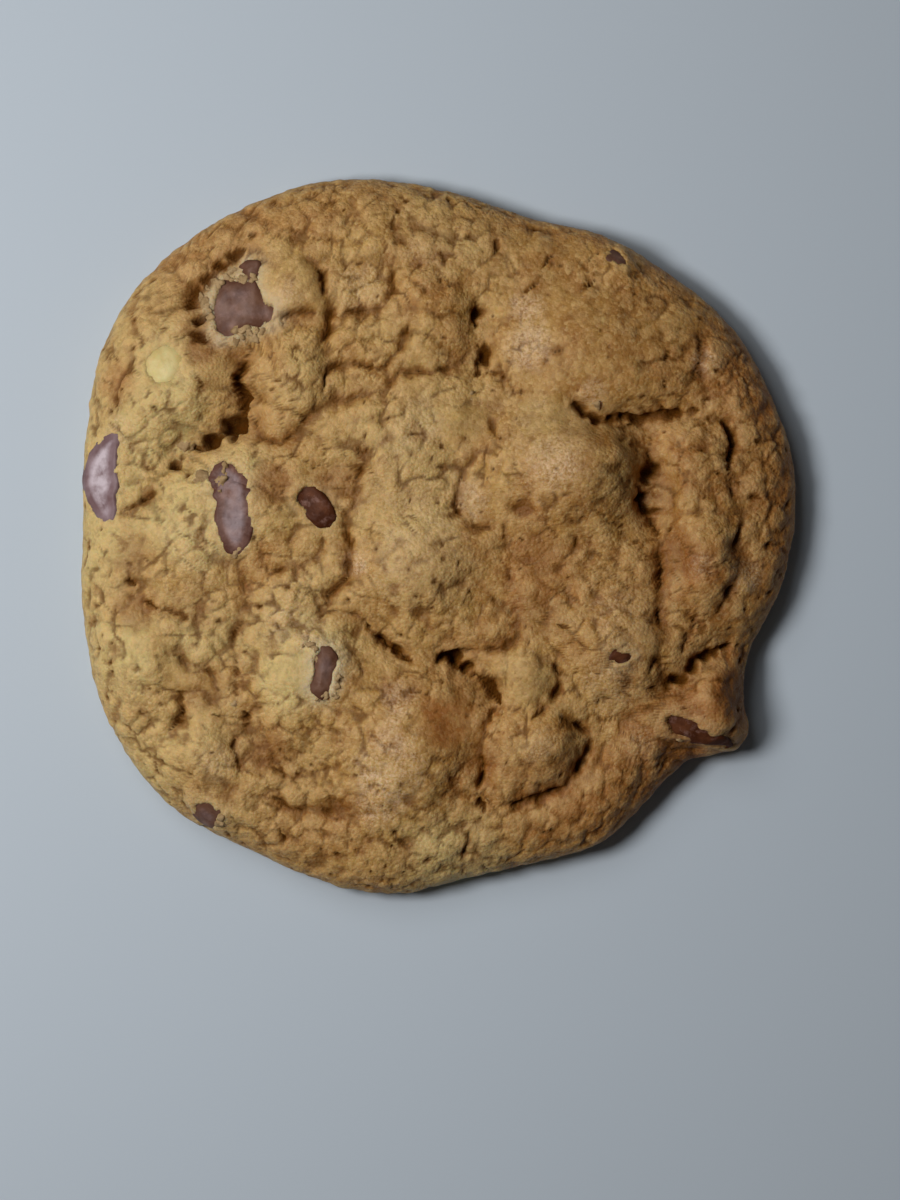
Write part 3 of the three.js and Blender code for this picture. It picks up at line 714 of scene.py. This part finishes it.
class Material:
    """A material's node tree, with short ways to add to it. Sizes are in millimetres."""

    def __init__(self, name):
        self.material = bpy.data.materials.new(name)
        self.material.use_nodes = True
        self.tree = self.material.node_tree
        self.shader = self.tree.nodes["Principled BSDF"]
        self.place = self.add("ShaderNodeTexCoord").outputs["Object"]

    def feed(self, node, inputs):
        """Gives a node's inputs their values, or links them to other nodes."""
        for key, value in inputs.items():
            if isinstance(value, bpy.types.NodeSocket):
                self.tree.links.new(value, node.inputs[key])
            else:
                node.inputs[key].default_value = value

    def add(self, kind, inputs=None, **settings):
        node = self.tree.nodes.new(kind)
        for key, value in settings.items():
            setattr(node, key, value)
        self.feed(node, inputs or {})
        return node

    def texture(self, kind, size, **inputs):
        return self.add(kind, {"Vector": self.place, "Scale": 1 / (size * MM)} | inputs).outputs

    def noise(self, size, detail, rough=0.55):
        return self.texture("ShaderNodeTexNoise", size, Detail=detail, Roughness=rough)["Fac"]

    def voronoi(self, size, output="Distance"):
        return self.texture("ShaderNodeTexVoronoi", size)[output]

    def look(self, name):
        return self.add("ShaderNodeAttribute", attribute_name=name).outputs["Fac"]

    def spread(self, value, low, high, to_low=0.0, to_high=1.0):
        """A value of low to high spread over to_low to to_high."""
        inputs = {"Value": value, "From Min": low, "From Max": high, "To Min": to_low,
                  "To Max": to_high}
        return self.add("ShaderNodeMapRange", inputs).outputs["Result"]

    def math(self, operation, first, second):
        return self.add("ShaderNodeMath", {0: first, 1: second}, operation=operation).outputs[0]

    def times(self, first, second):
        return self.math("MULTIPLY", first, second)

    def mix(self, share, first, second):
        """The first colour with this share of the second over it."""
        node = self.add("ShaderNodeMix", data_type="RGBA")
        self.feed(node, {0: share, 6: first, 7: second})  # the sockets for colours
        return node.outputs[2]

    def layered(self, colour, layers):
        """A colour with others over it, from the first to the last: (share, colour)."""
        for share, over in layers:
            colour = self.mix(share, colour, over)
        return colour

    def let_in(self, weight, depth, radius):
        """Lets light in this deep, its red, green and blue by these shares."""
        self.feed(self.shader, {"Subsurface Weight": weight, "Subsurface Scale": depth * MM,
                                "Subsurface Radius": radius})

    def finish(self, colour, roughness, bumps, specular):
        """Joins up the shader. bumps are (height, depth) from the broadest to the finest."""
        normal = None
        for height, depth in bumps:
            inputs = {"Height": height, "Distance": depth * MM, "Strength": 1.0}
            if normal:
                inputs["Normal"] = normal
            normal = self.add("ShaderNodeBump", inputs).outputs["Normal"]
        self.feed(self.shader, {"Base Color": colour, "Roughness": roughness,
                                "Specular IOR Level": specular, "Normal": normal})
        return self.material


GOLDEN = srgb(191, 151, 82)
GOLDEN_DEEP = srgb(172, 124, 58)
LIGHT = srgb(221, 185, 126)
TOASTED = srgb(168, 102, 42)
CREAM = srgb(206, 186, 150)
DOUGHY = srgb(216, 197, 134)
SUGAR_AND_GLINT = srgb(232, 200, 160)
VALLEY = srgb(126, 74, 14)
PAINTED_SHADE = srgb(72, 38, 8)
UNDER = srgb(170, 116, 62)
UNDER_DEEP = srgb(128, 80, 38)
SCUFF_AND_SHEEN = srgb(178, 140, 130)
SCUFF_DARK = srgb(52, 26, 16)
HAZE_AND_REFLECTION = srgb(208, 194, 202)
FLECK = srgb(60, 32, 26)
NUT = srgb(226, 210, 154)
NUT_DEEP = srgb(210, 190, 126)
NUT_BORDER = srgb(196, 166, 104)
CRUMB = srgb(182, 154, 114)
CRUMB_DEEP = srgb(154, 126, 88)
CRUMB_DARK = srgb(120, 92, 60)
PAPER = srgb(191, 203, 216)


def dough_material():
    """Golden crust, tinted by the mesh's own looks, with painted highlights, glints and shade."""
    m = Material("baked_dough")
    coarse = m.noise(5.0, 3)
    fine = m.noise(1.1, 5, 0.65)
    speck = m.noise(0.35, 4, 0.7)
    clump = m.voronoi(1.1, "Color")
    crystal = m.voronoi(CRYSTAL, "Color")
    relief = m.look("relief")
    crevice_shade = m.look("crevice_shade")
    sugar = m.look("sugar")
    side = m.look("side")
    browning_and_shade = m.look("browning_and_shade")

    browned = m.times(browning_and_shade, m.spread(fine, 0.25, 0.7, 0.45, 1.0))
    fair = m.spread(browning_and_shade, 0, 1.2, 1.05, 0.45)
    # Lighter sugar specks, with painted glints among them.
    sugar_and_glints = m.times(sugar, m.spread(speck, 0.4, 0.6))
    creamy = m.times(m.look("lip"), m.spread(fine, 0.3, 0.6, 0.3, 1.0))
    under = m.mix(m.spread(m.noise(3.0, 6, 0.7), 0.45, 0.62, 0, 0.9), UNDER, UNDER_DEEP)
    # Painted shade: the underside's pores drawn as dark spots.
    under = m.mix(m.spread(m.voronoi(1.7), 0.25, 0.12, 0, 0.6), under, PAINTED_SHADE)
    colour = m.layered(m.mix(m.spread(coarse, 0.35, 0.65), GOLDEN, GOLDEN_DEEP), [
        (m.times(m.look("pale_and_lit"), 0.8), DOUGHY),
        (m.times(browned, 0.7), TOASTED),
        (m.times(m.spread(clump, 0.6, 0.95, 0, 0.35), fair), LIGHT),
        (m.spread(clump, 0.4, 0.05, 0, 0.35), VALLEY),
        (m.times(m.spread(crystal, 0.55, 0.9, 0, 0.5), fair), LIGHT),
        (m.spread(crystal, 0.4, 0.1, 0, 0.25), VALLEY),
        (m.spread(m.noise(1.2, 4, 0.6), 0.5, 0.7, 0, 0.34), VALLEY),
        (m.times(m.spread(fine, 0.55, 0.72, 0, 0.5), fair), LIGHT),
        # Painted glints: light specks all over the crust, and more where it is sugared.
        (m.spread(speck, 0.6, 0.74, 0, 0.4), SUGAR_AND_GLINT),
        (m.times(sugar_and_glints, 0.8), SUGAR_AND_GLINT),
        # Painted highlight on the tops of lumps and painted shade in their hollows.
        (m.spread(relief, 0.1, 0.9, 0, 0.34), LIGHT),
        (m.spread(relief, -0.1, -0.9, 0, 0.55), VALLEY),
        (m.times(m.look("halo"), 0.35), VALLEY),
        # Painted shade along the cracks and in the hollows.
        (m.times(m.look("hollow_shade"), 0.6), VALLEY),
        (creamy, CREAM),
        # Painted shade in cracks, pits, fine lines and window floors.
        (m.times(crevice_shade, 0.9), PAINTED_SHADE),
        (m.spread(side, 0.3, 1.0, 0, 0.1), UNDER),
        (m.spread(side, 1.2, UNDERSIDE, 0, 0.85), under),
    ])

    roughness = m.math("SUBTRACT", m.spread(fine, 0.3, 0.7, 0.48, 0.7), m.times(sugar, 0.22))
    rough = m.spread(m.look("even"), 0, 1, 1, 0.35)
    grains = m.times(m.voronoi(CRYSTAL), m.times(rough, -1.0))
    bumps = [(m.times(fine, rough), 0.15), (grains, 0.10), (speck, 0.08)]
    m.let_in(0.5, 1.4, (1.0, 0.55, 0.25))
    return m.finish(colour, roughness, bumps, m.spread(crevice_shade, 0.0, 0.8, 0.38, 0.0))


def chocolate_material(name, deep, face, bloom_and_reflection, scuffs_and_sheen, shine):
    """Chocolate between these two colours, as shiny as said, and hazed and streaked as much as said:
    the haze is partly its own whitening and partly painted reflection, and the lighter streaks are
    scuff marks and painted sheen.
    """
    m = Material(name)
    broad = m.noise(2.6, 3)
    fine = m.noise(0.5, 4, 0.6)
    streaks = m.noise(1.2, 5, 0.65)
    gap = m.look("gap")
    haze_and_reflection = m.times(m.spread(m.noise(2.0, 4, 0.6), 0.3, 0.6), bloom_and_reflection)
    colour = m.layered(m.mix(m.spread(broad, 0.4, 0.6), deep, face), [
        # Lighter streaks: scuff marks, and painted sheen.
        (m.spread(streaks, 0.52, 0.66, 0, scuffs_and_sheen), SCUFF_AND_SHEEN),
        (m.spread(streaks, 0.46, 0.34, 0, scuffs_and_sheen), SCUFF_DARK),
        # Painted shade where the chip runs in under the dough at its window's border.
        (m.spread(gap, -0.5, 0.0, 0, 0.6), deep),
        # Haze over the middle of a window: partly the chocolate's own whitening, partly painted
        # reflection.
        (m.times(haze_and_reflection, m.spread(gap, -0.3, -0.9)), HAZE_AND_REFLECTION),
        (m.spread(fine, 0.64, 0.8, 0, 0.5), FLECK),
    ])
    bumps = [(broad, 0.2), (fine, 0.06)]
    return m.finish(colour, m.spread(fine, 0.3, 0.7, 0.4, 0.6), bumps, shine)


def nut_material():
    """Pale nut flesh, browner at its border."""
    m = Material("nut_flesh")
    broad = m.noise(1.8, 3)
    fine = m.noise(0.4, 4, 0.6)
    colour = m.mix(m.spread(broad, 0.35, 0.65), NUT, NUT_DEEP)
    colour = m.mix(m.spread(m.look("gap"), -0.9, 0.1, 0, 0.8), colour, NUT_BORDER)
    m.let_in(0.3, 1.5, (1.0, 0.2, 0.1))
    bumps = [(broad, 0.15), (fine, 0.05)]
    return m.finish(colour, m.spread(fine, 0.3, 0.7, 0.45, 0.65), bumps, 0.3)


def crumb_material():
    """Dull crumb of the baked dough."""
    m = Material("crumbs")
    fine = m.noise(0.4, 4, 0.6)
    colour = m.mix(m.spread(m.noise(1.2, 3), 0.35, 0.65), CRUMB, CRUMB_DEEP)
    colour = m.mix(m.spread(fine, 0.55, 0.75, 0, 0.5), colour, CRUMB_DARK)
    return m.finish(colour, 0.7, [(fine, 0.15)], 0.15)


# ---- Chips, nut and crumbs ----

def linked(name, data):
    """A new object in the scene."""
    holder = bpy.data.objects.new(name, data)
    bpy.context.collection.objects.link(holder)
    return holder


def ball(detail):
    """The points and faces of a sphere of triangles."""
    bpy.ops.mesh.primitive_ico_sphere_add(subdivisions=detail, radius=1)
    sphere = bpy.context.object
    points = np.array([v.co for v in sphere.data.vertices])
    faces = np.array([face.vertices for face in sphere.data.polygons])
    bpy.data.objects.remove(sphere)
    return points, faces


FINE_BALL = ball(5)
CRUMB_BALL = ball(3)


def lump(shape, half, facets=(), square=1.0, rough=0.1, grain=1.7, turn=0, seed=0):
    """The points of a rounded lump of these half lengths, cut flat by facets, each its outward
    direction and a point that it passes. Below 1, square makes it boxy. The turn is about Z."""
    points = np.sign(shape) * np.abs(shape) ** square * half
    for way, through in facets:
        way = np.array(way, float)
        way /= np.linalg.norm(way)
        over = points @ way - np.array(through) @ way
        points = points - np.where(over > 0, over * 0.94, 0)[:, None] * way
    out = points / np.linalg.norm(points, axis=1, keepdims=True)
    skin = rough * (perlin(points, grain, seed + 0.1) + 0.4 * perlin(points, grain / 3, seed + 0.7))
    points = points + skin[:, None] * out
    return points @ np.array(Euler((0, 0, math.radians(turn))).to_matrix()).T


def seated(points, middle, rise, tree):
    """Points laid flat on a surface over this middle, standing this far out of it."""
    place, way, _, _ = tree.ray_cast(Vector((*middle, ABOVE)), Vector((0, 0, -1)))
    near = np.hypot(points[:, 0], points[:, 1]) < 0.6
    points = points + (0, 0, rise - points[near, 2].max())
    lean = Vector((0, 0, 1)).rotation_difference(way)
    return points @ np.array(lean.to_matrix()).T + np.array(place)


def fitted(points, upper, node, skin):
    """A chip's points, drawn to the dough's skin in its windows and kept under it elsewhere, and
    how far outside its windows each one is."""
    borders = [border for name, *_, border in WINDOWS if name == node]
    gap = np.min([beyond(points[:, :2], border) for border in borders], axis=0)
    shut = step(0.35, 1.1, gap)
    for i, point in enumerate(points):
        place, way, _, _ = skin.find_nearest(point)
        high = (Vector(point) - place).dot(way)
        kept = min(high, PROUD - 2.5 * shut[i])
        if upper[i] and gap[i] < 0.35:
            kept = max(kept, -SUNK)
        points[i] += (kept - high) * np.array(way)
    return points, gap


def piece_of(name, lumps):
    """One object of lumps, each its points and its faces."""
    points, faces, start = [], [], 0
    for own_points, own_faces in lumps:
        points.append(own_points * MM)
        faces.append(own_faces + start)
        start += len(own_points)
    mesh = bpy.data.meshes.new(name)
    mesh.from_pydata(np.concatenate(points).tolist(), [], np.concatenate(faces).tolist())
    mesh.shade_smooth()
    return linked(name, mesh)


def dress(piece, slot, material, *nodes):
    """Gives a piece its material and its place in the frame, in the stead of CAD nodes if any."""
    piece.data.materials.append(material)
    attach(piece, "root")
    if nodes:
        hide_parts(*nodes)


def chip_piece(name, node, lumps, seed, skin):
    """A chip or the nut, lying in the dough's skin."""
    ball_points, ball_faces = FINE_BALL
    shapes, gaps = [], []
    for middle, rise, half, shape in lumps:
        points = seated(lump(ball_points, half, seed=seed, **shape), middle, rise, skin)
        points, gap = fitted(points, ball_points[:, 2] > 0.1, node, skin)
        shapes.append((points, ball_faces))
        gaps.append(gap)
    piece = piece_of(name, shapes)
    layer = piece.data.attributes.new("gap", "FLOAT", "POINT")
    layer.data.foreach_set("value", np.concatenate(gaps).astype(np.float32))
    return piece


def crumb_piece(ground):
    """The loose crumbs, each turned and sized by chance."""
    ball_points, ball_faces = CRUMB_BALL
    pick = random.Random(7)
    shapes = []
    for x, y, length, height in CRUMBS:
        half = length * np.array([pick.uniform(0.4, 0.75), pick.uniform(0.4, 0.65), 0.4])
        crumb = lump(ball_points, half, rough=0.5 * length, grain=0.55 * length,
                     turn=pick.uniform(0, 180), seed=pick.uniform(0, 50))
        shapes.append((seated(crumb, (x, y), height + 0.22 * length, ground), ball_faces))
    return piece_of("crumbs", shapes)


# ---- The scene ----
grid, looks, skin_points = worked_dough()
dough = linked("baked_dough", dough_mesh(grid, looks))
dress(dough, "dough", dough_material(), "dough")
skin = BVHTree.FromPolygons(skin_points.tolist(), crown_faces())

# The haze and lighter streaks on the chips are partly the chocolate's own and partly painted
# reflection and sheen.
BARE = chocolate_material("chocolate", srgb(92, 59, 44), srgb(118, 85, 68), 0.1, 0.2, 0.15)
HAZED_AND_REFLECTING = chocolate_material("chocolate_haze_and_reflection", srgb(88, 54, 44), srgb(128, 94, 84),
                           0.32, 0.25, 0.2)
DARK = chocolate_material("chocolate_dark", srgb(70, 35, 18), srgb(100, 58, 36), 0.0, 0.35, 0.08)
BLOOMED_AND_REFLECTING = chocolate_material("chocolate_bloom_and_reflection", srgb(116, 90, 92), srgb(160, 140, 146),
                             0.9, 0.1, 0.2)

# Chips: CAD node, material, and lumps. A lump is its middle, how high it stands out of the dough
# there, its half lengths, and the rest of its shape.
CHIPS = [
    ("chip_1", BARE, [
        ((-23.4, 27.6), 0.3, (6.2, 6, 2.6), dict(square=0.7, rough=0.05, facets=[
            ((-0.24, -0.12, 1), (1.3, 0, 2)), ((0.5, -0.10, 0.9), (1.3, 0, 2))])),
    ]),
    ("chip_2", BLOOMED_AND_REFLECTING, [
        ((-40, 7.1), 0, (3.4, 7, 1.9), dict(square=0.8, rough=0.06, facets=[
            ((0, 0, 1), (0, 0, 1.4))])),
    ]),
    ("chip_3", HAZED_AND_REFLECTING, [
        ((-24.3, 1.4), 0.25, (3.8, 5, 2.2), dict(square=0.8, rough=0.06, turn=2, facets=[
            ((0.12, 0.05, 1), (0, 0, 1.8))])),
        ((-25.5, 6.6), 0.3, (2.4, 2.8, 1.8), dict(rough=0.25)),
        ((-23.4, 6.2), 0, (2.4, 3.4, 2), dict(rough=0.1, turn=12)),
    ]),
    ("chip_4", DARK, [
        ((-14.6, 3.5), 0.15, (4, 4, 2.2), dict(square=0.8, turn=-40, facets=[
            ((-0.25, -0.1, 1), (0, 0, 1.8))])),
    ]),
    ("chip_5", BARE, [
        ((-13.4, -16.2), 0.2, (3.2, 4.6, 2.2), dict(square=0.8, turn=-14, facets=[
            ((0.4, 0, 1), (0.2, 0, 1.8)), ((-0.5, 0, 1), (-0.6, 0, 1.8))])),
    ]),
    ("chip_6", BARE, [((-27.3, -33), 0, (2.8, 2.8, 1.8), dict(square=0.8, turn=-35))]),
    ("chip_7", DARK, [((30.3, -22.9), -0.1, (5.2, 2.4, 1.8), dict(square=0.9, turn=-24))]),
    ("chip_8", DARK, [((21.4, -14.1), 0, (2.4, 1.8, 1.8), dict(square=0.8, turn=-14))]),
    ("chip_9", BARE, [((21.3, 33), 0, (2.5, 1.9, 1.8), dict(square=0.8, turn=-24))]),
]
solids = [dough.data]
for seed, (node, material, lumps) in enumerate(CHIPS):
    piece = chip_piece("chocolate_" + node, node, lumps, seed, skin)
    dress(piece, "chocolate", material, node)
    solids.append(piece.data)

NUT_LUMPS = [((-32.4, 20.4), 0.2, (3.4, 3.6, 1.8), dict(rough=0.2, turn=20))]
piece = chip_piece("nut_piece", "nut", NUT_LUMPS, len(CHIPS), skin)
dress(piece, "nut", nut_material(), "nut")
solids.append(piece.data)
dress(crumb_piece(tree_of(*solids)), "dough", crumb_material())

# The floor it lies on.
bpy.ops.mesh.primitive_plane_add(size=1.2)
floor = bpy.context.object
floor.name = "floor"
paper = Material("floor")
paper.feed(paper.shader, {"Base Color": PAPER, "Roughness": 0.8})
floor.data.materials.append(paper.material)

# The camera looks straight down.
CAMERA_HEIGHT = 0.90
FRAME_HEIGHT = 0.1423  # of the picture, at the height of the cookie's brim
SENSOR = 36.0
camera = linked("camera", bpy.data.cameras.new("camera"))
camera.location = (0.00136, -0.00753, CAMERA_HEIGHT)
camera.data.sensor_width = SENSOR
camera.data.lens = SENSOR * (CAMERA_HEIGHT - PILLOW_BRIM * MM) / FRAME_HEIGHT
camera.data.clip_start = 0.01
bpy.context.scene.camera = camera


def area_light(name, place, size, power, colour):
    """A round light that shines on the cookie."""
    light = bpy.data.lights.new(name, "AREA")
    light.shape = "DISK"
    light.size = size
    light.energy = power
    light.color = colour
    holder = linked(name, light)
    holder.location = place
    holder.rotation_euler = (-Vector(place)).to_track_quat("-Z", "Y").to_euler()


area_light("key", (-0.178, 0.014, 0.285), 0.12, 0.68, (1.0, 0.97, 0.93))
area_light("fill", (-0.14, 0.14, 0.30), 0.26, 0.30, (1.0, 0.99, 0.96))
world = bpy.data.worlds.new("world")
world.use_nodes = True
background = world.node_tree.nodes["Background"].inputs
background["Color"].default_value = (0.95, 0.95, 0.95, 1)
background["Strength"].default_value = 0.03
bpy.context.scene.world = world
bpy.context.scene.view_settings.view_transform = "Standard"
